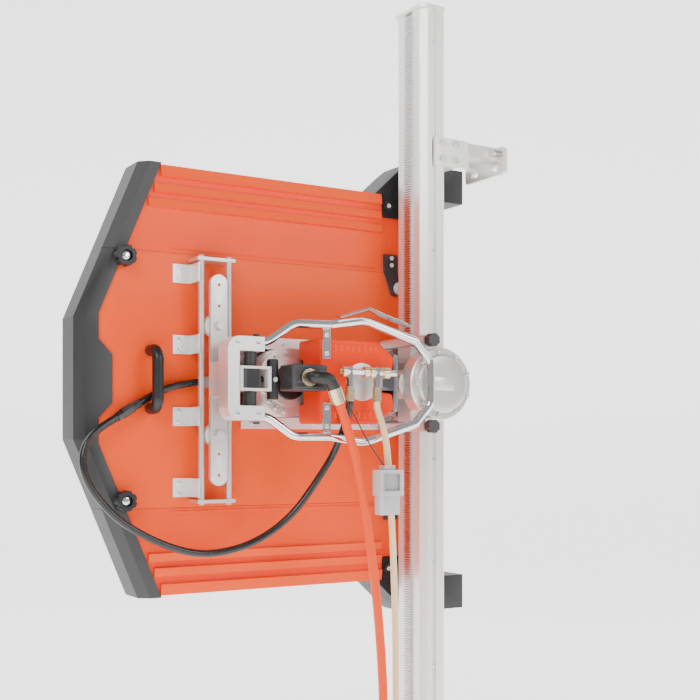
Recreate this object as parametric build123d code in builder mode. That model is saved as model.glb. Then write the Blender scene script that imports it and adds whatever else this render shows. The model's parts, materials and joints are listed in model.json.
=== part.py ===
from build123d import *
from math import cos, pi, radians, sin, tan
import os

# Wall saw on a rack track.  Millimetres.  X points into the wall, whose face is x = 0, and the
# machine stands at x < 0.  Z is up along the track.  Y is across it: the blade and its guard are
# on the +Y side.  The origin is the middle of the upper wall foot's back face.

os.makedirs("parts", exist_ok=True)

# Driving dimensions
SAW_Z = -588              # height of the blade hub and of the arm pivot
BLADE_R = 400
TRACK_FRONT = -253
TRACK_BACK = -185
TRACK_HALF = 62           # half of the track's width
TRACK_TOP = SAW_Z + 945
TRACK_BOTTOM = SAW_Z - 1055
FOOT_Z = (0, SAW_Z - 950)  # heights of the two wall feet
MODULE = 2                # rack and travel pinion
PINION_TEETH = 24
PIVOT_X = -300            # arm pivot
HUB_X = -590              # blade spindle
MOTOR_X = -446            # rotor
CARRIER_X = -772          # pivot of the guard carrier
ARM_Y = (17, 80)          # front and back of the arm casing
GUARD_Y = (88, 198)       # front and back panels of the guard
GUARD_HALF = 500
SECTION_Z = 297           # seam between the middle and the end sections
SLOT_HALF = 83
FLOOR = TRACK_BOTTOM - 20
WALL = 3                  # sheet thickness of the guard
FIT = 0.05                # radial clearance of a running fit


def keep(builder, node):
    """Label a finished piece and write its STEP file."""
    builder.part.label = node
    export_step(builder.part, f"parts/{node}.step")


def at(x, y, z):
    """A point whose height is measured from the blade hub."""
    return (x, y, SAW_Z + z)


def block(xs, ys, zs, mode=Mode.ADD):
    """A box between limits; heights are measured from the blade hub."""
    with Locations(at(sum(xs) / 2, sum(ys) / 2, sum(zs) / 2)):
        Box(xs[1] - xs[0], ys[1] - ys[0], zs[1] - zs[0], mode=mode)


def rod(start, end, radius, mode=Mode.ADD):
    """A round bar between two points given from the blade hub."""
    first = Vector(*at(*start))
    run = Vector(*at(*end)) - first
    with Locations(Plane(origin=first, z_dir=run.normalized()).location):
        Cylinder(radius, run.length, align=(Align.CENTER, Align.CENTER, Align.MIN), mode=mode)


def across(x, z, ys, radius, mode=Mode.ADD):
    """A round bar along Y."""
    rod((x, ys[0], z), (x, ys[1], z), radius, mode)


def facing(y):
    """A sketch plane at y whose sketch reads x to the right and z up; extrusion goes to -Y."""
    return Plane(origin=(0, y, SAW_Z), x_dir=(1, 0, 0), z_dir=(0, -1, 0))


def route_radii(points):
    """The largest arc at each corner that leaves a little of both runs straight."""
    corners = [Vector(*p) for p in points]
    radii = []
    for before, corner, after in zip(corners, corners[1:], corners[2:]):
        first = corner - before
        second = after - corner
        turn = radians(first.get_angle(second))
        radii.append(0.45 * min(first.length, second.length) / tan(turn / 2))
    return radii


def tube(node, points, radius):
    """A tube of straight runs and tangent arcs through points given from the blade hub."""
    corners = [at(*p) for p in points]
    radii = route_radii(corners)
    with BuildPart() as piece:
        with BuildLine() as path:
            FilletPolyline(*corners, radius=radii)
        with BuildSketch(Plane(origin=path.line @ 0, z_dir=path.line % 0)):
            Circle(radius)
        sweep()
    length = sum(edge.length for edge in path.edges())
    ratio = piece.part.volume / (pi * radius**2 * length)
    print(f"{node}: length {length:.0f}, least radius {min(radii):.0f}, volume ratio {ratio:.3f}")
    keep(piece, node)


def gear_points(teeth, module, phase):
    """Straight-sided teeth, a little thinner than the space that they run in."""
    radius = teeth * module / 2
    corners = []
    for index in range(teeth):
        middle = phase + 2 * pi * index / teeth
        for height, half in ((-1.1, 0.9), (0.8, 0.25), (0.8, -0.25), (-1.1, -0.9)):
            r = radius + height * module
            angle = middle - half * module / r
            corners.append((r * cos(angle), r * sin(angle)))
    return corners


# ---- Track ---------------------------------------------------------------------------------
RACK_HALF = 14.5
RACK_SEAT = TRACK_FRONT + 12
RACK_TIP = -260.5
PITCH = MODULE * pi

with BuildPart() as track_rail:
    with BuildSketch(Plane.XY.offset(TRACK_BOTTOM)) as rail_section:
        with Locations(((TRACK_FRONT + TRACK_BACK) / 2, 0)):
            Rectangle(TRACK_BACK - TRACK_FRONT, 2 * TRACK_HALF)
        chamfer(rail_section.vertices().group_by(Axis.X)[0], 15)
        chamfer(rail_section.vertices().group_by(Axis.X)[-1], 5)
        with Locations(((TRACK_FRONT + RACK_SEAT) / 2, 0)):
            Rectangle(RACK_SEAT - TRACK_FRONT, 2 * RACK_HALF, mode=Mode.SUBTRACT)
        with Locations((-219, TRACK_HALF - 3), (-219, 3 - TRACK_HALF)):
            Rectangle(12, 6, mode=Mode.SUBTRACT)
        with Locations((-213, 31), (-213, -31)):
            RectangleRounded(44, 38, 5, mode=Mode.SUBTRACT)
    extrude(amount=TRACK_TOP - TRACK_BOTTOM)
keep(track_rail, "track_rail")

with BuildPart() as gear_rack:
    root = RACK_TIP + 2.25 * MODULE
    count = int((TRACK_TOP - TRACK_BOTTOM - 20) / PITCH)
    # A space of the rack is level with the travel pinion.
    PINION_Z = -63
    below = int((PINION_Z - 10 + 1055) / PITCH)
    bottom = PINION_Z - PITCH * (below + 0.5)
    profile = [(RACK_SEAT, bottom), (root, bottom)]
    for index in range(count):
        middle = PINION_Z - PITCH * (below - index)
        profile += [(root, middle - 2.2), (RACK_TIP, middle - 0.85), (RACK_TIP, middle + 0.85)]
        profile += [(root, middle + 2.2)]
    profile.append((root, middle + PITCH / 2))
    profile.append((RACK_SEAT, middle + PITCH / 2))
    # Shift by half a pitch, so that a space and not a tooth is at the pinion's height.
    profile = [(x, z + PITCH / 2) for x, z in profile]
    with BuildSketch(facing(RACK_HALF)):
        with BuildLine():
            Polyline(*profile, close=True)
        make_face()
    extrude(amount=2 * RACK_HALF)
keep(gear_rack, "gear_rack")

with BuildPart() as rail_end_caps:
    for low in (945, -1063):
        block((-258, -180), (-67, 67), (low, low + 8))
    chamfer(rail_end_caps.edges().filter_by(Axis.Z), 12)

# ---- Wall feet -------------------------------------------------------------------------------
ANCHOR_PITCH = 80
ANCHOR_SLOT = 30
ANCHOR_R = 6.5
SCREW_Y = 71              # levelling screws
with BuildPart() as wall_brackets:
    for foot_z in FOOT_Z:
        h = foot_z - SAW_Z
        block((-13, 0), (-82, 80), (h - 35, h + 35))
    chamfer(wall_brackets.edges().filter_by(Axis.X), 6)
    for foot_z in FOOT_Z:
        h = foot_z - SAW_Z
        block((TRACK_BACK + 3, -13), (-TRACK_HALF, -22), (h, h + 33))
        block((TRACK_BACK + 0.2, -140), (-TRACK_HALF, TRACK_HALF), (h - 31, h + 33))
        block((-222, -118), (-72, -TRACK_HALF), (h - 35, h + 34))
        block((-205, -118), (TRACK_HALF, 71), (h - 35, h + 34))
        for y in (-ANCHOR_PITCH / 2, ANCHOR_PITCH / 2):
            with BuildSketch(Plane(origin=(0, y, foot_z - 17), x_dir=(0, 1, 0), z_dir=(-1, 0, 0))):
                SlotOverall(ANCHOR_SLOT, 2 * ANCHOR_R)
            extrude(amount=13, mode=Mode.SUBTRACT)
        for y in (-SCREW_Y, SCREW_Y):
            rod((-13, y, h + 18), (0, y, h + 18), 6, Mode.SUBTRACT)
    add(rail_end_caps.part)
keep(wall_brackets, "wall_brackets")

with BuildPart() as track_fasteners:
    for step in range(8):
        for side in (-1, 1):
            z = -970 + 262 * step
            across(-219, z, (side * (TRACK_HALF - 6), side * (TRACK_HALF - 2)), 5.5)
    for foot_z in FOOT_Z:
        h = foot_z - SAW_Z
        for z in (h - 20, h + 20):
            across(-200, z, (-78, -72), 8.5)
            across(-160, z, (-78, -72), 8.5)
            across(-160, z, (71, 77), 8.5)
        for y in (-SCREW_Y, SCREW_Y):
            rod((-34, y, h + 18), (-0.5, y, h + 18), 6)
            rod((-42, y, h + 18), (-34, y, h + 18), 9)
keep(track_fasteners, "track_fasteners")

# ---- Carriage --------------------------------------------------------------------------------
BEAM_Z = (92, 118)
PINION_X = RACK_TIP + MODULE - PINION_TEETH * MODULE / 2
ROLLER_R = 10
ROLLER_X = TRACK_FRONT - ROLLER_R - 0.05
with BuildPart() as carriage_frame:
    for side in (-1, 1):
        low = min(side * BEAM_Z[0], side * BEAM_Z[1])
        high = max(side * BEAM_Z[0], side * BEAM_Z[1])
        block((-292, -266), (-76, 76), (low, high))
        block((-292, -262), (-118, -76), (low, high))
        for ys in ((-76, -66), (66, 76)):
            block((-266, -200), ys, (low, high))
    for ys in ((-76, -66), (66, 76)):
        block((-257, -200), ys, (-118, 118))
    chamfer(carriage_frame.edges().filter_by(Axis.Y).group_by(Axis.X)[0], 4)
    block((-300, -264), (-76, -20), (-92, 92))
    across(PIVOT_X, 0, (-76, 14), 35)
    across(PIVOT_X, 0, (-76, 14), 20 + FIT, Mode.SUBTRACT)
    across(PINION_X, PINION_Z, (-76, -15), 8 + FIT, Mode.SUBTRACT)
    for side in (-1, 1):
        for y in (-38, 38):
            z = side * 105
            block((-276, -260), (y - 7, y + 7), (z - 11.5, z + 11.5), Mode.SUBTRACT)
            across(ROLLER_X, z, (y - 14, y + 14), 3, Mode.SUBTRACT)
keep(carriage_frame, "carriage_frame")

with BuildPart() as carriage_guides:
    for side in (-1, 1):
        for y in (-38, 38):
            across(ROLLER_X, side * 105, (y - 6, y + 6), ROLLER_R)
        for z in (-95, 95):
            ys = sorted((side * 62.3, side * 66))
            block((-250, -228), ys, (z - 16, z + 16))
            block((-210, -202), ys, (z - 16, z + 16))
keep(carriage_guides, "carriage_guides")

with BuildPart() as travel_pinion:
    with BuildSketch(Plane(origin=at(PINION_X, 14, PINION_Z), x_dir=(1, 0, 0), z_dir=(0, -1, 0))):
        with BuildLine():
            Polyline(*gear_points(PINION_TEETH, MODULE, 0), close=True)
        make_face()
    extrude(amount=28)
    across(PINION_X, PINION_Z, (-74, -14), 8)
keep(travel_pinion, "travel_pinion")

CASE_X = -238
with BuildPart() as travel_gear_case:
    across(CASE_X, 0, (-118, -76), 90)
    chamfer(travel_gear_case.edges().group_by(Axis.Y)[0], 3)
    across(CASE_X, 0, (-118, -82), 72, Mode.SUBTRACT)
keep(travel_gear_case, "travel_gear_case")

with BuildPart() as case_cover:
    across(CASE_X, 0, (-124, -118), 84)
    across(CASE_X, 0, (-127, -124), 72)
    chamfer(case_cover.edges().group_by(Axis.Y)[0], 2)
    for index in range(9):
        angle = radians(20 + 40 * index)
        across(CASE_X + 78 * cos(angle), 78 * sin(angle), (-127.5, -124), 3.6)
keep(case_cover, "case_cover")

for name, side in (("upper_clamp_knob", 1), ("lower_clamp_knob", -1)):
    with BuildPart() as knob:
        with BuildSketch(facing(-124)):
            with Locations((-276, side * 105)):
                Circle(16.5)
                with PolarLocations(17.5, 8):
                    Circle(3, mode=Mode.SUBTRACT)
        extrude(amount=20)
        across(-276, side * 105, (-124, -118.2), 9)
    keep(knob, name)

# ---- Arm -------------------------------------------------------------------------------------


def arm_outline(inset):
    """The arm's outline: three circles and their common tangents."""
    with BuildSketch(mode=Mode.PRIVATE) as outline:
        for x, radius in ((HUB_X, 82), (MOTOR_X, 76), (PIVOT_X, 40)):
            with Locations((x, 0)):
                Circle(radius - inset)
        make_hull()
    return outline.sketch


# The gear train in the arm runs from the rotor through an idler to the blade spindle.
GEAR_M = 3
HUB_TEETH = 36
IDLER_TEETH = 24
ROTOR_TEETH = 12
IDLER_X = HUB_X + (HUB_TEETH + IDLER_TEETH) * GEAR_M / 2

with BuildPart() as arm_casing:
    with BuildSketch(facing(ARM_Y[1])):
        add(arm_outline(0))
    extrude(amount=55)
    with BuildSketch(facing(ARM_Y[1] - 6)):
        add(arm_outline(6))
    extrude(amount=49, mode=Mode.SUBTRACT)
    across(HUB_X, 0, (56, 74), 30)
    across(HUB_X, 0, (50, 80), 15 + FIT, Mode.SUBTRACT)
    across(IDLER_X, 0, (25, 74), 10)
keep(arm_casing, "arm_casing")

with BuildPart() as arm_cover:
    with BuildSketch(facing(25)):
        add(arm_outline(0))
    extrude(amount=8)
    across(MOTOR_X, 0, (16, 26), 11, Mode.SUBTRACT)
    across(HUB_X, 0, (13, 17), 58.5)
    across(HUB_X, 0, (13, 17), 42.5, Mode.SUBTRACT)
    across(PIVOT_X, 0, (-72, 17), 20)
keep(arm_cover, "arm_cover")

with BuildPart() as hub_cap:
    across(HUB_X, 0, (9, 17), 42)
    chamfer(hub_cap.edges().group_by(Axis.Y)[0], 2)
    across(HUB_X, 0, (3, 9), 10)
keep(hub_cap, "hub_cap")

with BuildPart() as blade_spindle:
    with BuildSketch(Plane(origin=at(HUB_X, 50, 0), x_dir=(1, 0, 0), z_dir=(0, -1, 0))):
        with BuildLine():
            Polyline(*gear_points(HUB_TEETH, GEAR_M, 0), close=True)
        make_face()
    extrude(amount=20)
    across(HUB_X, 0, (27, 141), 15)
    across(HUB_X, 0, (82, 133), 34)
    across(HUB_X, 0, (133, 141), 60)
keep(blade_spindle, "blade_spindle")

with BuildPart() as idler_gear:
    with BuildSketch(Plane(origin=at(IDLER_X, 50, 0), x_dir=(1, 0, 0), z_dir=(0, -1, 0))):
        with BuildLine():
            Polyline(*gear_points(IDLER_TEETH, GEAR_M, pi / IDLER_TEETH), close=True)
        make_face()
    extrude(amount=20)
    across(IDLER_X, 0, (30, 50), 10 + FIT, Mode.SUBTRACT)
keep(idler_gear, "idler_gear")

with BuildPart() as saw_blade:
    across(HUB_X, 0, (141, 145), BLADE_R - 12)
    for index in range(28):
        angle = 360 / 28 * index
        with Locations(Location(at(HUB_X, 143, 0), (0, angle, 0))):
            with Locations((BLADE_R - 9, 0, 0)):
                Box(18, 5, 78)
    across(HUB_X, 0, (138, 150), BLADE_R + 30, Mode.INTERSECT)
    across(HUB_X, 0, (145, 154), 60)
    across(HUB_X, 0, (154, 164), 17)
keep(saw_blade, "saw_blade")

# ---- Motor -----------------------------------------------------------------------------------
with BuildPart() as motor_housing:
    across(MOTOR_X, 0, (-80, 17), 62)
    across(MOTOR_X, 0, (-74, 17), 48, Mode.SUBTRACT)
    across(MOTOR_X, 0, (-62, -6), 49)
    across(MOTOR_X, 0, (-62, -6), 38, Mode.SUBTRACT)
    block((-351, -338), (-76, 17), (-70, 70))
    fillet(motor_housing.edges().filter_by(Axis.Y).group_by(Axis.X)[-1], 6)
    block((-384.5, -345), (-76, -20), (-18, 18))
keep(motor_housing, "motor_housing")

with BuildPart() as motor_rotor:
    across(MOTOR_X, 0, (-64, -4), 37)
    across(MOTOR_X, 0, (-72, 30), 9)
    with BuildSketch(Plane(origin=at(MOTOR_X, 50, 0), x_dir=(1, 0, 0), z_dir=(0, -1, 0))):
        with BuildLine():
            Polyline(*gear_points(ROTOR_TEETH, GEAR_M, 0), close=True)
        make_face()
    extrude(amount=20)
keep(motor_rotor, "motor_rotor")

COVER_Y = (-84, 17)


def cover_outline(inset):
    """The motor cover's outline, with the gap between its two fingers on the pivot side."""
    with BuildSketch(mode=Mode.PRIVATE) as outline:
        with BuildLine():
            FilletPolyline(
                (-562 + inset, -100 + inset), (-562 + inset, 100 - inset), (-400, 100 - inset),
                (-352 - inset, 62 - inset), (-358 - inset, 26 + inset), (-392 - inset, 22 + inset),
                (-392 - inset, -22 - inset), (-358 - inset, -26 - inset),
                (-352 - inset, inset - 62), (-400, inset - 100),
                radius=8, close=True,
            )
        make_face()
        fillet(outline.vertices().group_by(Axis.X)[0], 40 - inset)
    return outline.sketch


with BuildPart() as motor_cover:
    with BuildSketch(facing(COVER_Y[1])):
        add(cover_outline(0))
    extrude(amount=COVER_Y[1] - COVER_Y[0])
    fillet(motor_cover.edges().group_by(Axis.Y)[0], 7)
    block((-558, -400), (-78, 17), (-66, 66), Mode.SUBTRACT)
    across(MOTOR_X, 0, (-80, 17), 64, Mode.SUBTRACT)
    across(HUB_X, 0, (-3, 17), 61, Mode.SUBTRACT)
keep(motor_cover, "motor_cover")

# ---- Plug hood, elbow and water line ---------------------------------------------------------
HOOD_X = (-655, -562)
CABLE_EXIT = (-556, -160, -53)
with BuildPart() as plug_hood:
    block(HOOD_X, (-120, -60), (-26, 34))
    fillet(plug_hood.edges().filter_by(Axis.Y), 5)
    chamfer(plug_hood.edges().group_by(Axis.Y)[0], 3)
    rod((-612, -120, 4), (-612, -112, 4), 20, Mode.SUBTRACT)
keep(plug_hood, "plug_hood")

tube("cable_elbow", [(-612, -126, 4), (-612, -150, 4), (-582, -159, 2), (-567.5, -159, -22.4)], 14.5)

CABLE_R = 11
PIPE_Y = -116
PIPE_Z = 21
TEE_X = (-500, -425)
with BuildPart() as water_line:
    rod((-512, PIPE_Y, PIPE_Z), (-372, PIPE_Y, PIPE_Z), 8)
    for x in TEE_X:
        rod((x, PIPE_Y, PIPE_Z + 12), (x, PIPE_Y, -14), 8.5)
    rod((-384, PIPE_Y, PIPE_Z), (-384, COVER_Y[0], PIPE_Z), 7)
keep(water_line, "water_line")

with BuildPart() as line_fittings:
    for x, length, radius in ((-522, 9, 13), (-462, 12, 13), (-446, 12, 13), (-408, 16, 14)):
        rod((x, PIPE_Y, PIPE_Z), (x + length, PIPE_Y, PIPE_Z), radius)
        rod((x, PIPE_Y, PIPE_Z), (x + length, PIPE_Y, PIPE_Z), 8, Mode.SUBTRACT)
    for x in TEE_X:
        rod((x, PIPE_Y, -14), (x, PIPE_Y, -48), 11)
    rod((-612, -126, 4), (-612, -112, 4), 20)
    rod((-567.5, -159, -22.4), CABLE_EXIT, 17)
    rod(CABLE_EXIT, (-554.6, -160.1, -56.7), 12.5)
keep(line_fittings, "line_fittings")

# ---- Tube frame ------------------------------------------------------------------------------
FRAME_R = 10.5


def frame_y(x):
    """The frame leans: its pivot end stands further out than its guard end."""
    return -60 - 0.2 * (x + 700)


frame_route = [(-540, 131), (-455, 144), (-326, 99), (-288, 52), (-288, -52), (-326, -99)]
frame_route += [(-455, -144), (-540, -131)]
FRAME_BENDS = [60, 25, 30, 30, 25, 60]
with BuildPart() as frame_tube:
    with BuildLine() as frame_path:
        FilletPolyline(*[at(x, frame_y(x), z) for x, z in frame_route], radius=FRAME_BENDS)
    with BuildSketch(Plane(origin=frame_path.line @ 0, z_dir=frame_path.line % 0)):
        Circle(FRAME_R)
    sweep()

holder_route = [(-752, 86), (-690, 86), (-628, 131), (-541, 131)]
with BuildPart() as guard_tubes:
    for side in (-1, 1):
        with BuildLine() as holder_path:
            FilletPolyline(*[at(x, frame_y(x), side * z) for x, z in holder_route], radius=[45, 45])
        with BuildSketch(Plane(origin=holder_path.line @ 0, z_dir=holder_path.line % 0)):
            Circle(FRAME_R)
        sweep()

with BuildPart() as frame_plates:
    for side in (-1, 1):
        zs = sorted((side * 52, side * 119))
        block((-557, -537), (-90, -84), zs)
    loop_route = [(-520, 150), (-451, 172), (-345, 134)]
    with BuildLine() as loop_path:
        FilletPolyline(*[at(x, frame_y(x) - 2, z) for x, z in loop_route], radius=[12])
    with BuildSketch(Plane(origin=loop_path.line @ 0, x_dir=(0, 1, 0), z_dir=loop_path.line % 0)):
        Rectangle(34, 5)
    sweep()
    add(frame_tube.part)
    add(guard_tubes.part)
keep(frame_plates, "frame_tube")

# ---- Guard holder ----------------------------------------------------------------------------
BAR_Y = (20, 32)
BLOCK_Y = (-84, -34)
with BuildPart() as holder_block:
    block((-799, -707), BLOCK_Y, (-95, 95))
    fillet(holder_block.edges().filter_by(Axis.Y).group_by(Axis.X)[0], 30)
    block((-770, -700), BLOCK_Y, (-62, 62), Mode.SUBTRACT)
    block((-797, -756), (-34, 18), (-40, 40))
    across(CARRIER_X, 0, (-22, 18), 12 + FIT, Mode.SUBTRACT)
    for side in (-1, 1):
        rod((-752, frame_y(-752), side * 86), (-700, frame_y(-700), side * 86), FRAME_R, Mode.SUBTRACT)
    rod((-732, -59, 62), (-732, -59, 72), 6, Mode.SUBTRACT)
    rod((-732, -59, -72), (-732, -59, -62), 6, Mode.SUBTRACT)
keep(holder_block, "holder_block")

with BuildPart() as pin_bushes:
    for side in (-1, 1):
        rod((-732, -59, side * 29), (-732, -59, side * 61), 15)
        rod((-716, -60, side * 97.5), (-716, -60, side * 103), 8)
    rod((-732, -59, -72), (-732, -59, 72), 6)

with BuildPart() as latch_frame:
    block((-769, -692), (-88, -34), (-28, 28))
    block((-763, -700), (-90, -30), (-22, 22), Mode.SUBTRACT)
    rod((-701, -59, 0), (-690, -59, 0), 7 + FIT, Mode.SUBTRACT)
    rod((-732, -59, -30), (-732, -59, 30), 6, Mode.SUBTRACT)
    block((-700, -692), (-40, -30), (-28, 28), Mode.SUBTRACT)
keep(latch_frame, "latch_frame")

with BuildPart() as latch_jaw:
    block((-762, -716), (-88, -36), (-21.5, 21.5))
    rod((-732, -59, -30), (-732, -59, 30), 6, Mode.SUBTRACT)
    fillet(latch_jaw.edges().filter_by(Axis.Z).group_by(Axis.Y)[0], 8)
    add(pin_bushes.part)
keep(latch_jaw, "latch_jaw")

with BuildPart() as clamp_t_handle:
    rod((-674, -59, -46), (-674, -59, 47), 13.5)
    chamfer(clamp_t_handle.edges(), 2.5)
    rod((-714, -59, 0), (-674, -59, 0), 7)
keep(clamp_t_handle, "clamp_t_handle")

# ---- Guard carrier ---------------------------------------------------------------------------
RAIL_Y = 43
RAIL_X = (-807, -737)
ROD_R = 7
WHEEL_Z = 127
HOSE_R = 8.5
PORT_X = -800
with BuildPart() as roller_bar:
    with BuildSketch(facing(BAR_Y[1])):
        with Locations((CARRIER_X, 0)):
            SlotOverall(490, 42, rotation=90)
            with Locations((0, WHEEL_Z), (0, -WHEEL_Z)):
                Circle(6, mode=Mode.SUBTRACT)
            with Locations((0, 172), (0, -172), (0, 221), (0, -221)):
                Circle(3.5, mode=Mode.SUBTRACT)
    extrude(amount=BAR_Y[1] - BAR_Y[0])
    across(CARRIER_X, 0, (-20, 20), 12)
    for side in (-1, 1):
        z = side * WHEEL_Z
        across(CARRIER_X, z, (20, 54), 6)
        across(CARRIER_X, z, (12, 20), 10)
        across(CARRIER_X, z, (53.3, 58), 10)
    block((PORT_X, -752), (60, 82), (-16, 10))
    across(CARRIER_X, -3, (32, 60), 9)
keep(roller_bar, "roller_bar")

for name, side in (("upper_bar_roller", 1), ("lower_bar_roller", -1)):
    with BuildPart() as roller:
        across(CARRIER_X, side * WHEEL_Z, (33, 53), 27.8)
        chamfer(roller.edges(), 2)
        across(CARRIER_X, side * WHEEL_Z, (33, 53), 6 + FIT, Mode.SUBTRACT)
    keep(roller, name)

# ---- Guard -----------------------------------------------------------------------------------
GUARD_RIGHT = -120
LEAN = (1039 - 890) / (GUARD_HALF - 147)   # slope of the shell's slanted left edge


def left_edge(z):
    """Left edge of the orange shell on its slanted stretch."""
    return -1039 + LEAN * (z - 147)


SEAM = 0.3
RIBS = ((399, 420), (433, 455), (471, 499))


def mirrored(points, side):
    return [(x, side * z) for x, z in points]


def shell(outline, cavity):
    """A box open where its cavity runs past the outline."""
    for points, y, depth, mode in (
        (outline, GUARD_Y[1], GUARD_Y[1] - GUARD_Y[0], Mode.ADD),
        (cavity, GUARD_Y[1] - WALL, GUARD_Y[1] - GUARD_Y[0] - 2 * WALL, Mode.SUBTRACT),
    ):
        with BuildSketch(facing(y)) as flat:
            with BuildLine():
                Polyline(*points, close=True)
            make_face()
        extrude(flat.sketch, amount=depth, mode=mode)


seam_x = left_edge(SECTION_Z)
middle_left = [(-1007, 54), (-1039, 89), (-1039, 147), (seam_x, SECTION_Z - SEAM)]
middle_outline = [(GUARD_RIGHT, SECTION_Z - SEAM)] + mirrored(middle_left[::-1], 1)
middle_outline += mirrored(middle_left, -1) + [(GUARD_RIGHT, SEAM - SECTION_Z)]
middle_cavity = [(GUARD_RIGHT + 9, 320), (seam_x + 12, 320), (-1035, 147), (-1035, 88), (-1003, 53)]
middle_cavity += [(-1003, -53), (-1035, -88), (-1035, -147), (seam_x + 12, -320)]
middle_cavity += [(GUARD_RIGHT + 9, -320)]
with BuildPart() as guard_middle:
    shell(middle_outline, middle_cavity)
    block((-685, GUARD_RIGHT + 5), (80, GUARD_Y[0] + WALL + 1), (-SLOT_HALF, SLOT_HALF), Mode.SUBTRACT)
keep(guard_middle, "guard_middle")

for name, side in (("guard_upper", 1), ("guard_lower", -1)):
    outline = [(left_edge(SECTION_Z + SEAM), SECTION_Z + SEAM), (left_edge(GUARD_HALF), GUARD_HALF)]
    outline += [(GUARD_RIGHT, GUARD_HALF), (GUARD_RIGHT, SECTION_Z + SEAM)]
    cavity = [(seam_x - 6, 270), (left_edge(GUARD_HALF) + 3, GUARD_HALF - WALL)]
    cavity += [(GUARD_RIGHT + 9, GUARD_HALF - WALL), (GUARD_RIGHT + 9, 270)]
    with BuildPart() as section:
        shell(mirrored(outline, side), mirrored(cavity, side))
        for inner, outer in RIBS:
            start = left_edge(inner) + 12
            with BuildSketch(Plane(origin=at(start, 0, 0), x_dir=(0, 1, 0), z_dir=(1, 0, 0))):
                with BuildLine():
                    wedge = [(GUARD_Y[0], inner), (GUARD_Y[0] - 9, inner + 2)]
                    wedge += [(GUARD_Y[0] - 5, outer), (GUARD_Y[0], outer)]
                    Polyline(*mirrored(wedge, side), close=True)
                make_face()
            extrude(amount=-282 - start)
    keep(section, name)


def bumper_edge(z, inset):
    """Outer edge of the bumper, set in towards its front and back faces."""
    reach = 22.7 * (1 - inset / 21)
    return -1070 - reach + 152 / 366 * (z - 134)


def bumper_outline(low, high, inset):
    """One bumper section between two heights above the hub."""
    outer = [(-1091 + inset, low), (-1091 + inset, 138)] if low < 138 else []
    if low >= 138:
        outer = [(bumper_edge(low, inset), low)]
    outer.append((bumper_edge(high, inset), high))
    inner = [(left_edge(high), high)]
    if low < 138:
        inner += [(-1039, 147), (-1039, 89), (-1007, 54), (-1007, low)]
    else:
        inner += [(left_edge(low), low)]
    return outer, inner


def bumper_loop(side, low, high, inset):
    """Closed outline of an end section, or of the middle section when side is 0."""
    outer, inner = bumper_outline(low, high, inset)
    if side:
        return mirrored(outer + inner, side)
    half = outer[1:] + inner[:-1]
    return half + mirrored(half[::-1], -1)


with BuildPart() as slot_strips:
    for side in (-1, 1):
        block((-685, GUARD_RIGHT), (82, GUARD_Y[0]), sorted((side * SLOT_HALF, side * 111)))
keep(slot_strips, "slot_strips")

corners = {}
for side in (1, -1):
    skirt = [(-300, 500.5), (-222, 572), (-200, 590), (-20, 590), (-20, 500.5)]
    hollow = [(-284, 500.5), (-218, 564), (-198, 585), (-10, 585), (-10, 504.5)]
    with BuildPart() as corner:
        with BuildSketch(facing(GUARD_Y[1])):
            with BuildLine():
                Polyline(*mirrored(skirt, side), close=True)
            make_face()
        extrude(amount=GUARD_Y[1] - GUARD_Y[0] + 4)
        with BuildSketch(facing(GUARD_Y[1] - 4)):
            with BuildLine():
                Polyline(*mirrored(hollow, side), close=True)
            make_face()
        extrude(amount=GUARD_Y[1] - GUARD_Y[0] - 4, mode=Mode.SUBTRACT)
        block((-278, GUARD_RIGHT), (84, GUARD_Y[0]), sorted((side * 440, side * 500.5)))
        across(-262, side * 470, (80, 84), 13)
    corners[side] = corner.part

BUMPER_Y = (83, 203)
for name, side, low, high in (
    ("bumper_middle", 0, 0, SECTION_Z - SEAM),
    ("end_trim_upper", 1, SECTION_Z + SEAM, GUARD_HALF + 4),
    ("end_trim_lower", -1, SECTION_Z + SEAM, GUARD_HALF + 4),
):
    with BuildPart() as bumper:
        with BuildSketch(facing(BUMPER_Y[1] - 21)):
            with BuildLine():
                Polyline(*bumper_loop(side, low, high, 0), close=True)
            make_face()
        extrude(amount=BUMPER_Y[1] - BUMPER_Y[0] - 42)
        for near, far in ((BUMPER_Y[0] + 21, BUMPER_Y[0]), (BUMPER_Y[1] - 21, BUMPER_Y[1])):
            for y, inset in ((near, 0), (far, 21)):
                with BuildSketch(facing(y)):
                    with BuildLine():
                        Polyline(*bumper_loop(side, low, high, inset), close=True)
                    make_face()
            loft()
        if side:
            add(corners[side])
    keep(bumper, name)

AXLE = (-232, 257)
plate = [(-275, 344), (-235, 344), (-233, 290), (-219, 268), (-219, 246), (-240, 236)]
plate += [(-252, 240), (-275, 300)]
for name, side in (("upper_wheel_bracket", 1), ("lower_wheel_bracket", -1)):
    with BuildPart() as bracket:
        with BuildSketch(facing(GUARD_Y[0])):
            with BuildLine():
                Polyline(*mirrored(plate, side), close=True)
            make_face()
        extrude(amount=8)
        across(AXLE[0], side * AXLE[1], (63.5, 80), 5)
        across(AXLE[0], side * AXLE[1], (62.8, 65.8), 8)
        for z in (316, 334):
            across(-255, side * z, (77, 80), 5)
    keep(bracket, name)

for name, side in (("upper_guard_wheel", 1), ("lower_guard_wheel", -1)):
    with BuildPart() as wheel:
        across(AXLE[0], side * AXLE[1], (66.2, 79), 16.5)
        chamfer(wheel.edges(), 1.5)
        across(AXLE[0], side * AXLE[1], (66.2, 79), 5 + FIT, Mode.SUBTRACT)
    keep(wheel, name)

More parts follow.
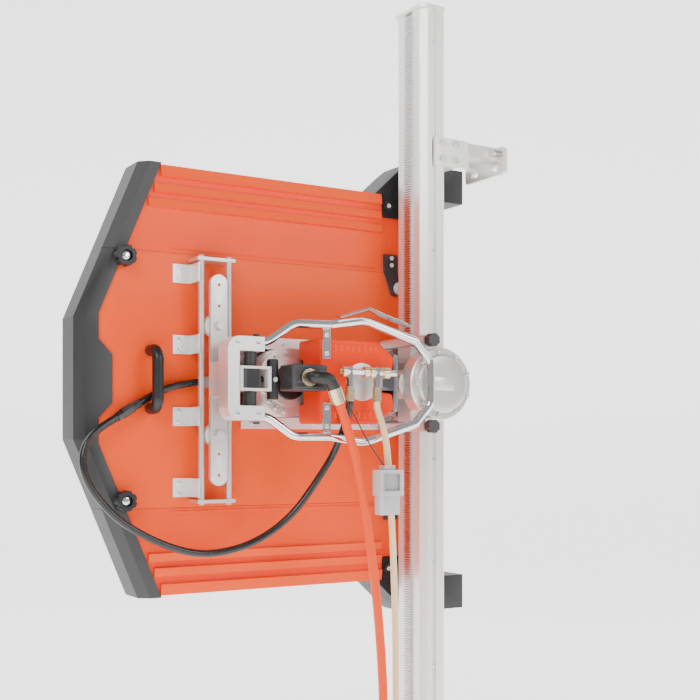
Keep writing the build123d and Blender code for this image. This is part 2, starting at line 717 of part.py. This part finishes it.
with BuildPart() as rod_frame:
    for side in (-1, 1):
        block((-820, -724), (33, GUARD_Y[0]), sorted((side * 278, side * 286)))
        for z in (84, 250):
            block((-860, -814.3), (84, GUARD_Y[0]), (side * z - 22, side * z + 22))
            block((-818.3, -814.3), (34, 84), (side * z - 22, side * z + 22))
    for x in RAIL_X:
        rod((x, RAIL_Y, -290), (x, RAIL_Y, 290), ROD_R)
    for z in (-250, -84, 84, 250):
        block((-815, RAIL_X[0] - 5), (40, 46), (z - 8, z + 8))
keep(rod_frame, "rod_frame")

with BuildPart() as guard_handle:
    with BuildLine() as grip_path:
        FilletPolyline(
            at(-915, GUARD_Y[0], 67), at(-915, 40, 67), at(-915, 40, -67), at(-915, GUARD_Y[0], -67),
            radius=[24, 24],
        )
    with BuildSketch(Plane(origin=grip_path.line @ 0, z_dir=grip_path.line % 0)):
        Circle(13)
    sweep()
keep(guard_handle, "guard_handle")

for name, side in (("upper_star_knob", 1), ("lower_star_knob", -1)):
    with BuildPart() as star:
        with BuildSketch(facing(76)):
            with Locations((-983, side * 277)):
                Circle(24)
                with PolarLocations(25.5, 7):
                    Circle(4.5, mode=Mode.SUBTRACT)
        extrude(amount=24)
        fillet(star.edges().group_by(Axis.Y)[0], 2)
        across(-983, side * 277, (50, 60), 13, Mode.SUBTRACT)
        across(-983, side * 277, (76, 82.7), 15)
    keep(star, name)

# ---- Protective cap --------------------------------------------------------------------------
CAP_X = (-466, -412)
with BuildPart() as plug_cap:
    block(CAP_X, (-200, -164), (-312, -212))
    fillet(plug_cap.edges().filter_by(Axis.Z), 9)
    block((-454, -424), (-194, -170), (-212, -198))
    block((-456, -422), (-192, -172), (-330, -250), Mode.SUBTRACT)
    for x in (CAP_X[0] - 4.2, CAP_X[1] + 0.6):
        block((x, x + 3.6), (-204.4, -168), (-268, -208))
    block((CAP_X[0] - 4.2, CAP_X[1] + 4.2), (-204.4, -200.6), (-268, -208))
    block((CAP_X[0] + 6, CAP_X[1] - 6), (-206, -198), (-256, -218), Mode.SUBTRACT)
keep(plug_cap, "plug_cap")

# ---- Cables and hoses ------------------------------------------------------------------------
LANYARD = [(-540, -166, -48), (-516, -176, -98), (-484, -182, -155), (-448, -182, -198)]
tube("lanyard", LANYARD, 1.5)

# The supply cable and the water feed are each in two lengths, joined by an inline coupler.
COUPLER_Z = (-928, -868)
CABLE_UPPER = [
    (-554.6, -160.1, -56.7), (-533, -162, -114), (-507, -163, -205), (-480, -163, -345),
    (-455, -162, -500), (-440, -160, -650), (-434, -160, -762), (-434, -160, COUPLER_Z[1]),
]
CABLE_LOWER = [
    (-434, -160, COUPLER_Z[0]), (-434, -160, -958), (-440, -184, -996), (-450, -222, -1034),
    (-461, -264, -1056), (-473, -305, -1063),
]
tube("supply_cable_upper", CABLE_UPPER, CABLE_R)
tube("supply_cable_lower", CABLE_LOWER, CABLE_R)

FEED_R = 8
FEED_UPPER = [
    (-425, PIPE_Y, -48), (-425, PIPE_Y, -62), (-424, -128, -84), (-422, -142, -112),
    (-420, -150, -148), (-417, -154, -200), (-412, -154, -268), (-405, -152, -354),
    (-398, -150, -462),
    (-394, -150, -600), (-393, -150, -738), (-393, -150, COUPLER_Z[1]),
]
FEED_LOWER = [
    (-393, -150, COUPLER_Z[0]), (-393, -150, -956), (-393, -134, -992), (-393, -100, -1024),
    (-393, -56, -1050), (-393, -12, -1066),
]
tube("water_feed_upper", FEED_UPPER, FEED_R)
tube("water_feed_lower", FEED_LOWER, FEED_R)
with BuildPart() as inline_couplers:
    for x, y, radius in ((-434, -160, 19), (-393, -150, 13)):
        rod((x, y, COUPLER_Z[0]), (x, y, COUPLER_Z[1]), radius)
    chamfer(inline_couplers.edges(), 2)
keep(inline_couplers, "inline_couplers")

FLOOR_H = FLOOR - SAW_Z


def coil(node, centre, radius, half_width, height):
    """The outer shape of a coil that lies on the floor."""
    with BuildPart() as ring:
        with BuildSketch(Plane(origin=(*centre, FLOOR))):
            Circle(radius + half_width)
            Circle(radius - half_width, mode=Mode.SUBTRACT)
        extrude(amount=height)
    keep(ring, node)


coil("cable_coil", (-325, -400), 150, 33, 60)
coil("feed_coil", (-483, 40), 90, 17, 33)
with BuildPart() as supply_plug:
    rod((-325, -592, FLOOR_H + 28), (-240, -592, FLOOR_H + 28), CABLE_R)
    rod((-240, -592, FLOOR_H + 28), (-215, -592, FLOOR_H + 28), 18)
    rod((-215, -592, FLOOR_H + 28), (-110, -592, FLOOR_H + 28), 28)
keep(supply_plug, "supply_plug")
with BuildPart() as feed_fitting:
    rod((-483, -72, FLOOR_H + 12), (-450, -72, FLOOR_H + 12), FEED_R)
    rod((-450, -72, FLOOR_H + 12), (-415, -72, FLOOR_H + 12), 12)
keep(feed_fitting, "feed_fitting")

GUARD_HOSE = [
    (-500, PIPE_Y, -48), (-500, PIPE_Y, -62), (-501, -87.5, -114), (-505, -68, -150),
    (-514, -54, -182), (-533, -42, -218), (-555, -31, -255), (-590, -20, -305),
    (-640, -9, -350), (-697, 0, -381), (-752, 6, -396), (-807, 12, -402), (-862, 16, -393),
    (-914, 21, -374), (-966, 26, -348), (-1015, 31, -315), (-1052, 36, -275),
    (-1078, 40, -237), (-1090, 44, -197), (-1086, 48, -160), (-1066, 53, -128),
    (-1035, 58, -106), (-1003, 64, -88), (-960, 69, -62), (-922, 72.5, -40), (-890, 73.5, -24),
    (-850, 73, -10), (PORT_X, 72, -3),
]
tube("guard_hose", GUARD_HOSE, HOSE_R)
with BuildPart() as hose_coupling:
    rod((-1003, 64, -88), (-990, 65.5, -80.2), 10.5)
    rod((-990, 65.5, -80.2), (-966, 68.3, -65.6), 12)
    rod((-966, 68.3, -65.6), (-948, 70.1, -55.1), 10)
keep(hose_coupling, "hose_coupling")
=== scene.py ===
import json
from math import cos, pi, radians, sin

import bmesh
import bpy
from mathutils import Matrix, Vector


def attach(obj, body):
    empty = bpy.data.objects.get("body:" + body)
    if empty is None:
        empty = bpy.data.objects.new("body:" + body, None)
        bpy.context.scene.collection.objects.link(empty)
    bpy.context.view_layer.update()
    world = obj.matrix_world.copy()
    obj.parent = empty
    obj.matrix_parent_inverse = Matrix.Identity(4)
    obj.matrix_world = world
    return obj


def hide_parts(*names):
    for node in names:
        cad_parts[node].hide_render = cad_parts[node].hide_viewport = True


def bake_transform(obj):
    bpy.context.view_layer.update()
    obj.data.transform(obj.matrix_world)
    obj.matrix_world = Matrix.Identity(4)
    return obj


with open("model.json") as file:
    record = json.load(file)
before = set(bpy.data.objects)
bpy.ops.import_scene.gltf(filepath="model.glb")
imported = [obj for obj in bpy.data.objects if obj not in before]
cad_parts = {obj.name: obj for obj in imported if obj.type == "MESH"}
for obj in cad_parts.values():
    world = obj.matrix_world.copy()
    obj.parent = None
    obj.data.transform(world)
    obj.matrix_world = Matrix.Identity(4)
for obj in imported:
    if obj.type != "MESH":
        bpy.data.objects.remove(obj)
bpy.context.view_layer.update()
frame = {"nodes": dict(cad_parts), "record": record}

# Wall saw on a rack track, in metres, in the CAD's frame: +X into the wall, +Y across the track
# towards the blade, +Z up.  Heights in the helpers are from the blade hub.
HUB_Z = -0.588
FLOOR_Z = -1.663
NODES = frame["nodes"]


def at(x, y, z):
    """A point in metres from millimetres, its height measured from the blade hub."""
    return Vector((x / 1000, y / 1000, z / 1000 + HUB_Z))


# ---- Camera --------------------------------------------------------------------------------------
camera_data = bpy.data.cameras.new("camera")
camera_data.lens = 59.1
camera_data.sensor_width = 36
camera_data.shift_y = 0.136
camera = bpy.data.objects.new("camera", camera_data)
camera.location = (-1.906, -2.411, -0.739)
camera.rotation_euler = (radians(90), 0, radians(-31.5))
bpy.context.scene.collection.objects.link(camera)
bpy.context.scene.camera = camera


# ---- Materials -----------------------------------------------------------------------------------
def finish(name, colour, second, roughness, metallic=0.0, scale=60, bump=0.05, coat=0.0,
           grain=None, wear=None, spread=0.12, transmission=0.0, specular=0.5):
    """A surface with broad colour drift, fine grain, uneven gloss, soft edges and edge wear."""
    material = bpy.data.materials.new(name)
    material.use_nodes = True
    nodes = material.node_tree.nodes
    link = material.node_tree.links.new
    shader = nodes["Principled BSDF"]
    shader.inputs["Metallic"].default_value = metallic
    shader.inputs["Coat Weight"].default_value = coat
    shader.inputs["Coat Roughness"].default_value = 0.08
    shader.inputs["Specular IOR Level"].default_value = specular
    shader.inputs["Transmission Weight"].default_value = transmission
    place = nodes.new("ShaderNodeTexCoord")
    broad = nodes.new("ShaderNodeTexNoise")
    broad.inputs["Scale"].default_value = 9
    broad.inputs["Detail"].default_value = 5
    fine = nodes.new("ShaderNodeTexNoise")
    fine.inputs["Scale"].default_value = scale * 10
    fine.inputs["Detail"].default_value = 6
    link(place.outputs["Object"], broad.inputs["Vector"])
    if grain:
        stretch = nodes.new("ShaderNodeMapping")
        stretch.inputs["Scale"].default_value = grain
        link(place.outputs["Object"], stretch.inputs["Vector"])
        link(stretch.outputs["Vector"], fine.inputs["Vector"])
    else:
        link(place.outputs["Object"], fine.inputs["Vector"])
    drift = nodes.new("ShaderNodeValToRGB")
    drift.color_ramp.elements[0].position = 0.35
    drift.color_ramp.elements[1].position = 0.7
    drift.color_ramp.elements[0].color = (*second, 1)
    drift.color_ramp.elements[1].color = (*colour, 1)
    link(broad.outputs["Fac"], drift.inputs["Fac"])
    base = drift.outputs["Color"]
    if wear:
        edges = nodes.new("ShaderNodeNewGeometry")
        limit = nodes.new("ShaderNodeMapRange")
        limit.inputs["From Min"].default_value = 0.53
        limit.inputs["From Max"].default_value = 0.62
        worn = nodes.new("ShaderNodeMix")
        worn.data_type = "RGBA"
        worn.inputs["B"].default_value = (*wear, 1)
        link(edges.outputs["Pointiness"], limit.inputs["Value"])
        link(limit.outputs["Result"], worn.inputs["Factor"])
        link(base, worn.inputs["A"])
        base = worn.outputs["Result"]
    link(base, shader.inputs["Base Color"])
    gloss = nodes.new("ShaderNodeMapRange")
    gloss.inputs["To Min"].default_value = max(0.02, roughness - spread)
    gloss.inputs["To Max"].default_value = min(1.0, roughness + spread)
    link(fine.outputs["Fac"], gloss.inputs["Value"])
    link(gloss.outputs["Result"], shader.inputs["Roughness"])
    relief = nodes.new("ShaderNodeBump")
    relief.inputs["Strength"].default_value = bump
    relief.inputs["Distance"].default_value = 0.0006
    link(fine.outputs["Fac"], relief.inputs["Height"])
    soft = nodes.new("ShaderNodeBevel")
    soft.samples = 4
    soft.inputs["Radius"].default_value = 0.0012
    link(soft.outputs["Normal"], relief.inputs["Normal"])
    link(relief.outputs["Normal"], shader.inputs["Normal"])
    return material


LOOKS = {
    "white_rail": finish("rail", (0.80, 0.77, 0.73), (0.70, 0.66, 0.62), 0.33, 0.55, 45, 0.10,
                         grain=(1, 1, 0.03), wear=(0.9, 0.88, 0.85)),
    "cast_aluminium": finish("cast", (0.76, 0.73, 0.70), (0.64, 0.60, 0.57), 0.36, 0.75, 30, 0.22,
                             wear=(0.92, 0.90, 0.88)),
    "steel": finish("steel", (0.50, 0.50, 0.51), (0.36, 0.35, 0.35), 0.30, 1.0, 60, 0.10,
                    grain=(1, 0.05, 1), wear=(0.75, 0.75, 0.75)),
    "bright_chrome": finish("chrome", (0.86, 0.86, 0.87), (0.78, 0.78, 0.79), 0.09, 1.0, 20, 0.02,
                            spread=0.04),
    "brass_fittings": finish("brass", (0.66, 0.50, 0.24), (0.52, 0.38, 0.18), 0.26, 1.0, 50, 0.06,
                             wear=(0.82, 0.70, 0.45)),
    "orange_shell": finish("orange", (0.95, 0.042, 0.0), (0.90, 0.034, 0.0), 0.42, 0.0, 22,
                           0.04, coat=0.08, wear=(0.95, 0.09, 0.01), spread=0.06, specular=0.12),
    "grey_metal": finish("grey_metal", (0.075, 0.075, 0.08), (0.05, 0.05, 0.055), 0.42, 0.35, 60,
                         0.15, wear=(0.35, 0.35, 0.36)),
    "rubber_bumper": finish("bumper", (0.016, 0.016, 0.018), (0.010, 0.010, 0.011), 0.50, 0.0, 90,
                            0.30, wear=(0.06, 0.06, 0.06), spread=0.1, specular=0.3),
    "black_plastic": finish("black", (0.012, 0.012, 0.013), (0.007, 0.007, 0.008), 0.34, 0.0, 90,
                            0.20, wear=(0.06, 0.06, 0.06), spread=0.1),
    "white_plastic": finish("white", (0.78, 0.74, 0.68), (0.70, 0.66, 0.60), 0.38, 0.0, 60, 0.08),
    "grey_plastic": finish("grey", (0.40, 0.40, 0.41), (0.33, 0.33, 0.34), 0.34, 0.0, 60, 0.12,
                           coat=0.2, wear=(0.6, 0.6, 0.6)),
    "orange_cable": finish("cable", (0.95, 0.075, 0.0), (0.90, 0.06, 0.0), 0.42, 0.0, 40, 0.12,
                           spread=0.08, specular=0.3),
    "cream_hose": finish("cream", (0.95, 0.74, 0.40), (0.90, 0.66, 0.32), 0.30, 0.0, 30, 0.05,
                         coat=0.3),
    "black_hose": finish("hose", (0.012, 0.012, 0.012), (0.007, 0.007, 0.007), 0.28, 0.0, 60, 0.10,
                         coat=0.2),
}
for entry in frame["record"]["subparts"]:
    node = NODES[entry["node"]]
    look = LOOKS[entry["material_slot"]]
    for index in range(max(1, len(node.material_slots))):
        if node.material_slots:
            node.material_slots[index].material = look
        else:
            node.data.materials.append(look)


# ---- Helpers for mesh pieces -----------------------------------------------------------------------
def new_piece(name, mesh, slot):
    piece = bpy.data.objects.new(name, mesh)
    bpy.context.scene.collection.objects.link(piece)
    piece.data.materials.append(LOOKS[slot])
    return piece


def turned(profile, centre, direction, sides=36, six=0):
    """Vertices and faces of a form turned about an axis; the first rings may be hexagonal."""
    axis = Vector(direction).normalized()
    turn = Vector((0, 0, 1)).rotation_difference(axis).to_matrix()
    vertices = []
    faces = []
    for index, (radius, height) in enumerate(profile):
        for step in range(sides):
            angle = 2 * pi * step / sides
            reach = radius
            if index < six:
                inside = (angle + pi / 6) % (pi / 3) - pi / 6
                reach = radius * cos(pi / 6) / cos(inside)
            point = Vector((reach * cos(angle), reach * sin(angle), height)) / 1000
            vertices.append(centre + turn @ point)
    for ring in range(len(profile) - 1):
        for step in range(sides):
            following = (step + 1) % sides
            a = ring * sides
            faces.append((a + step, a + following, a + sides + following, a + sides + step))
    faces.append(tuple(range(sides))[::-1])
    last = (len(profile) - 1) * sides
    faces.append(tuple(range(last, last + sides)))
    return vertices, faces


def gather(name, parts, slot, body):
    """Many small forms as one piece on a body."""
    vertices = []
    faces = []
    for points, loops in parts:
        base = len(vertices)
        vertices += points
        faces += [tuple(base + i for i in loop) for loop in loops]
    mesh = bpy.data.meshes.new(name)
    mesh.from_pydata([tuple(v) for v in vertices], [], faces)
    form = bmesh.new()
    form.from_mesh(mesh)
    bmesh.ops.recalc_face_normals(form, faces=form.faces)
    form.to_mesh(mesh)
    form.free()
    piece = new_piece(name, mesh, slot)
    for polygon in mesh.polygons:
        polygon.use_smooth = len(polygon.vertices) == 4
    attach(piece, body)
    return piece


def screw(x, y, z, radius, height, direction=(0, -1, 0)):
    """A socket-head screw that stands out from a face."""
    profile = [
        (0.5 * radius, 0.25 * height), (0.5 * radius, height), (0.58 * radius, height),
        (0.88 * radius, height), (radius, 0.84 * height), (radius, 0.1 * height),
        (0.96 * radius, -0.1),
    ]
    return turned(profile, at(x, y, z), direction, 36, 2)


def washer(x, y, z, radius, height, direction=(0, -1, 0)):
    profile = [(0.3 * radius, height), (0.94 * radius, height), (radius, 0.7 * height), (radius, -0.1)]
    return turned(profile, at(x, y, z), direction)


def ridge(xs, zs, y, height):
    """A low bar with sloping sides on a face that looks towards -Y."""
    vertices = []
    for depth, inset in ((0.2, 0), (-0.6 * height, 0.4), (-height, 1.6)):
        for x, z in ((0, 0), (1, 0), (1, 1), (0, 1)):
            vertices.append(at(xs[x] + (inset if x == 0 else -inset), y + depth,
                               zs[z] + (inset if z == 0 else -inset)))
    faces = [(0, 1, 2, 3), (8, 9, 10, 11)]
    for ring in (0, 4):
        for i in range(4):
            j = (i + 1) % 4
            faces.append((ring + i, ring + j, ring + 4 + j, ring + 4 + i))
    return vertices, faces


# ---- Cords ---------------------------------------------------------------------------------------
def spline(points, radius=0.0):
    curve = bpy.data.curves.new("route", "CURVE")
    curve.dimensions = "3D"
    line = curve.splines.new("NURBS")
    line.points.add(len(points) - 1)
    for control, point in zip(line.points, points):
        control.co = (*point, 1)
    line.order_u = 3
    line.use_endpoint_u = True
    line.resolution_u = 8
    curve.bevel_depth = radius
    curve.bevel_resolution = 5
    curve.use_fill_caps = True
    holder = bpy.data.objects.new("route", curve)
    bpy.context.scene.collection.objects.link(holder)
    bpy.context.view_layer.update()
    mesh = bpy.data.meshes.new_from_object(holder)
    bpy.data.objects.remove(holder)
    return mesh


def cord_piece(name, points, radius, slot, nodes, extra=()):
    """A tube along the smooth line through a route, in place of the CAD parts it hides."""
    route = [at(*p) for p in points] + list(extra)
    path = [v.co.copy() for v in spline(route).vertices]
    mesh = spline(route, radius / 1000)
    for polygon in mesh.polygons:
        polygon.use_smooth = True
    piece = new_piece(name, mesh, slot)
    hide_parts(*nodes)
    return piece


def turns(centre, start, rounds, radii, heights):
    """Control points of a wound coil: one radius and height a turn, twelve points a turn."""
    points = []
    for step in range(int(12 * rounds) + 1):
        whole = step / 12
        index = min(int(whole), len(radii) - 1)
        following = min(index + 1, len(radii) - 1)
        part = max(0.0, (whole - index - 0.7) / 0.3) if index != following else 0.0
        radius = radii[index] + (radii[following] - radii[index]) * min(1.0, part)
        height = heights[index] + (heights[following] - heights[index]) * min(1.0, part)
        angle = radians(start) + 2 * pi * whole
        points.append(Vector((
            (centre[0] + radius * cos(angle)) / 1000, (centre[1] + radius * sin(angle)) / 1000,
            FLOOR_Z + height / 1000,
        )))
    return points


def leave(centre, steps):
    """Points of a coil's last stretch: angle in degrees, radius and height above the floor."""
    return [
        Vector(((centre[0] + radius * cos(radians(angle))) / 1000,
                (centre[1] + radius * sin(radians(angle))) / 1000, FLOOR_Z + height / 1000))
        for angle, radius, height in steps
    ]


cable_upper = cord_piece(
    "cable_run_upper",
    [(-554.6, -160.1, -56.7), (-533, -162, -114), (-507, -163, -205), (-480, -163, -345),
     (-455, -162, -500), (-440, -160, -650), (-434, -160, -762), (-434, -160, -868)],
    11, "orange_cable", ["supply_cable_upper"],
)
cable_lower = cord_piece(
    "cable_run_lower",
    [(-434, -160, -928), (-434, -160, -958), (-440, -184, -996), (-450, -222, -1034),
     (-461, -264, -1056)],
    11, "orange_cable", ["supply_cable_lower", "cable_coil"],
    turns((-325, -400), 150, 6.083, [171, 149, 128, 139, 161, 150, 150],
          [11, 11, 11, 30, 30, 49, 49])
    + leave((-325, -400), [(200, 151, 50), (215, 154, 52), (230, 163, 50), (244, 174, 41),
                           (256, 184, 32)])
    + [Vector((-0.325, -0.592, FLOOR_Z + 0.028))],
)
feed_upper = cord_piece(
    "feed_run_upper",
    [(-425, -116, -48), (-425, -116, -62), (-424, -128, -84), (-422, -142, -112),
     (-420, -150, -148), (-417, -154, -200), (-412, -154, -268), (-405, -152, -354),
     (-398, -150, -462), (-394, -150, -600), (-393, -150, -738), (-393, -150, -868)],
    8, "cream_hose", ["water_feed_upper"],
)
feed_lower = cord_piece(
    "feed_run_lower",
    [(-393, -150, -928), (-393, -150, -956), (-393, -134, -992), (-393, -100, -1024),
     (-393, -56, -1050)],
    8, "cream_hose", ["water_feed_lower", "feed_coil"],
    turns((-483, 40), -30, 2.583, [98, 82, 90], [8, 8, 24])
    + leave((-483, 40), [(198, 90, 25), (216, 93, 26), (234, 100, 22), (252, 108, 15)])
    + [Vector((-0.483, -0.072, FLOOR_Z + 0.012))],
)
guard_hose = cord_piece(
    "guard_hose_run",
    [(-500, -116, -48), (-500, -116, -62), (-501, -87.5, -114), (-505, -68, -150),
     (-514, -54, -182), (-533, -42, -218), (-555, -31, -255), (-590, -20, -305),
     (-640, -9, -350), (-697, 0, -381), (-752, 6, -396), (-807, 12, -402), (-862, 16, -393),
     (-914, 21, -374), (-966, 26, -348), (-1015, 31, -315), (-1052, 36, -275),
     (-1078, 40, -237), (-1090, 44, -197), (-1086, 48, -160), (-1066, 53, -128),
     (-1035, 58, -106), (-1003, 64, -88), (-960, 69, -62), (-922, 72.5, -40),
     (-890, 73.5, -24), (-850, 73, -10), (-800, 72, -3)],
    8.5, "black_hose", ["guard_hose"],
)
lanyard = cord_piece(
    "lanyard_run",
    [(-540, -166, -48), (-516, -176, -98), (-484, -182, -155), (-448, -182, -198)],
    1.5, "black_hose", ["lanyard"],
)
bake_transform(cable_upper)
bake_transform(cable_lower)
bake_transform(feed_upper)
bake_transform(feed_lower)
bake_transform(guard_hose)
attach(lanyard, "arm")

# ---- Screws and small details -----------------------------------------------------------------------
rim = [radians(20 + 40 * i) for i in range(9)]
gather("case_screws", [screw(-238 + 78 * cos(a), -127.2, 78 * sin(a), 5, 3.6) for a in rim],
       "bright_chrome", "carriage")
gather("case_dome", [turned([(71.5, -0.2), (71, 1.2), (66, 2.6), (52, 3.6), (30, 4.2), (6, 4.4)],
                            at(-238, -127, 0), (0, -1, 0), 72)], "cast_aluminium", "carriage")
gather("case_plate", [ridge((-268, -208), (-17, 17), -130.6, 1.6)], "white_rail", "carriage")
gather("hub_screw", [screw(-590, 3.2, 0, 10, 6)], "bright_chrome", "arm")
around = [radians(100 + 20 * i) for i in range(9)]
gather("arm_screws", [screw(-590 + 71 * cos(a), 17, 71 * sin(a), 5.5, 5) for a in around],
       "bright_chrome", "arm")
gather("strip_screws",
       [screw(-655 + 84 * i, 82, side * 97, 5, 3.2) for i in range(7) for side in (-1, 1)],
       "bright_chrome", "guard")
gather("bracket_screws",
       [screw(-845, 84, side * z + dz, 5, 4) for side in (-1, 1) for z in (84, 250)
        for dz in (-13, 13)], "bright_chrome", "guard")
for body, side in (("upper_section", 1), ("lower_section", -1)):
    gather(body + "_screws", [screw(-255, 77, side * z, 5.6, 3) for z in (316, 334)],
           "white_plastic", body)
    gather(body + "_edge_screws",
           [screw(-262, 80, side * 470, 6, 3)], "bright_chrome", body)
    gather(body + "_seam", [ridge((-868 if side else 0, -300), sorted((side * 303, side * 309)),
                                  88, 1.4)], "orange_shell", body)
gather("strap_screws",
       [screw(-547, -90, side * z, 5, 4) for side in (-1, 1) for z in (64, 107)],
       "bright_chrome", "arm")
gather("holder_screws",
       [screw(x, -84, side * 80, 5.5, 4) for side in (-1, 1) for x in (-776, -724)],
       "bright_chrome", "arm")
gather("t_handle_screw", [screw(-674, -72.4, 0, 5.5, 2.4)], "white_plastic", "t_handle")
gather("motor_ridges",
       [ridge((-540 + 16 * i, -532 + 16 * i), sorted((side * 70, side * 88)), -84, 2.6)
        for i in range(9) for side in (-1, 1)], "orange_shell", "arm")
gather("motor_cap", [turned([(60, -0.2), (59, 1.6), (52, 3.4), (36, 4.8), (10, 5.4)],
                            at(-446, -80, 0), (0, -1, 0), 72)], "cast_aluminium", "arm")
gather("hood_ribs", [ridge((-648, -569), (-20 + 12 * i, -16 + 12 * i), -120, 1.6)
                     for i in range(2)], "black_plastic", "arm")
for body, side in (("upper_star", 1), ("lower_star", -1)):
    gather(body + "_insert", [washer(-983, 60, side * 277, 11, 3)], "bright_chrome", body)
for body, side in (("upper_wheel", 1), ("lower_wheel", -1)):
    gather(body + "_face", [turned([(8.6, 0.0), (8.8, 1.0), (12, 1.2), (14, 0.6), (14.2, -0.1)],
                                   at(-232, 66.2, side * 257), (0, -1, 0), 48)],
           "white_plastic", body)

# ---- Floor, light ----------------------------------------------------------------------------------
floor_mesh = bpy.data.meshes.new("floor")
profile = [(-8.0, 0.0), (2.5, 0.0)]
profile += [(2.5 + 1.5 * sin(radians(a)), 1.5 - 1.5 * cos(radians(a))) for a in range(10, 91, 10)]
profile += [(4.0, 9.0)]
rows = []
for y, z in profile:
    for x in (-12.0, 12.0):
        rows.append((x, y, FLOOR_Z + z))
floor_mesh.from_pydata(
    rows, [], [(2 * i, 2 * i + 1, 2 * i + 3, 2 * i + 2) for i in range(len(profile) - 1)])
for polygon in floor_mesh.polygons:
    polygon.use_smooth = True
floor = bpy.data.objects.new("floor", floor_mesh)
bpy.context.scene.collection.objects.link(floor)
floor.rotation_euler = (0, 0, radians(-31.5))
ground = finish("floor", (0.93, 0.93, 0.93), (0.91, 0.91, 0.91), 0.85, bump=0.01)
ground_shader = ground.node_tree.nodes["Principled BSDF"]
ground_shader.inputs["Emission Color"].default_value = (1, 1, 1, 1)
ground_shader.inputs["Emission Strength"].default_value = 1.6
floor.data.materials.append(ground)

world = bpy.data.worlds.new("world")
world.use_nodes = True
world.node_tree.nodes["Background"].inputs["Color"].default_value = (1, 1, 1, 1)
world.node_tree.nodes["Background"].inputs["Strength"].default_value = 0.42
bpy.context.scene.world = world
for place, size, power in (
    ((-3.4, -2.6, 1.4), 1.8, 75), ((0.9, -3.2, 0.8), 1.4, 40), ((-2.6, 1.2, 1.6), 1.6, 30),
):
    lamp = bpy.data.lights.new("softbox", "AREA")
    lamp.size = size
    lamp.energy = power
    box = bpy.data.objects.new("softbox", lamp)
    box.location = place
    aim = Vector((-0.6, 0.0, HUB_Z)) - Vector(place)
    box.rotation_euler = aim.to_track_quat("-Z", "Y").to_euler()
    bpy.context.scene.collection.objects.link(box)
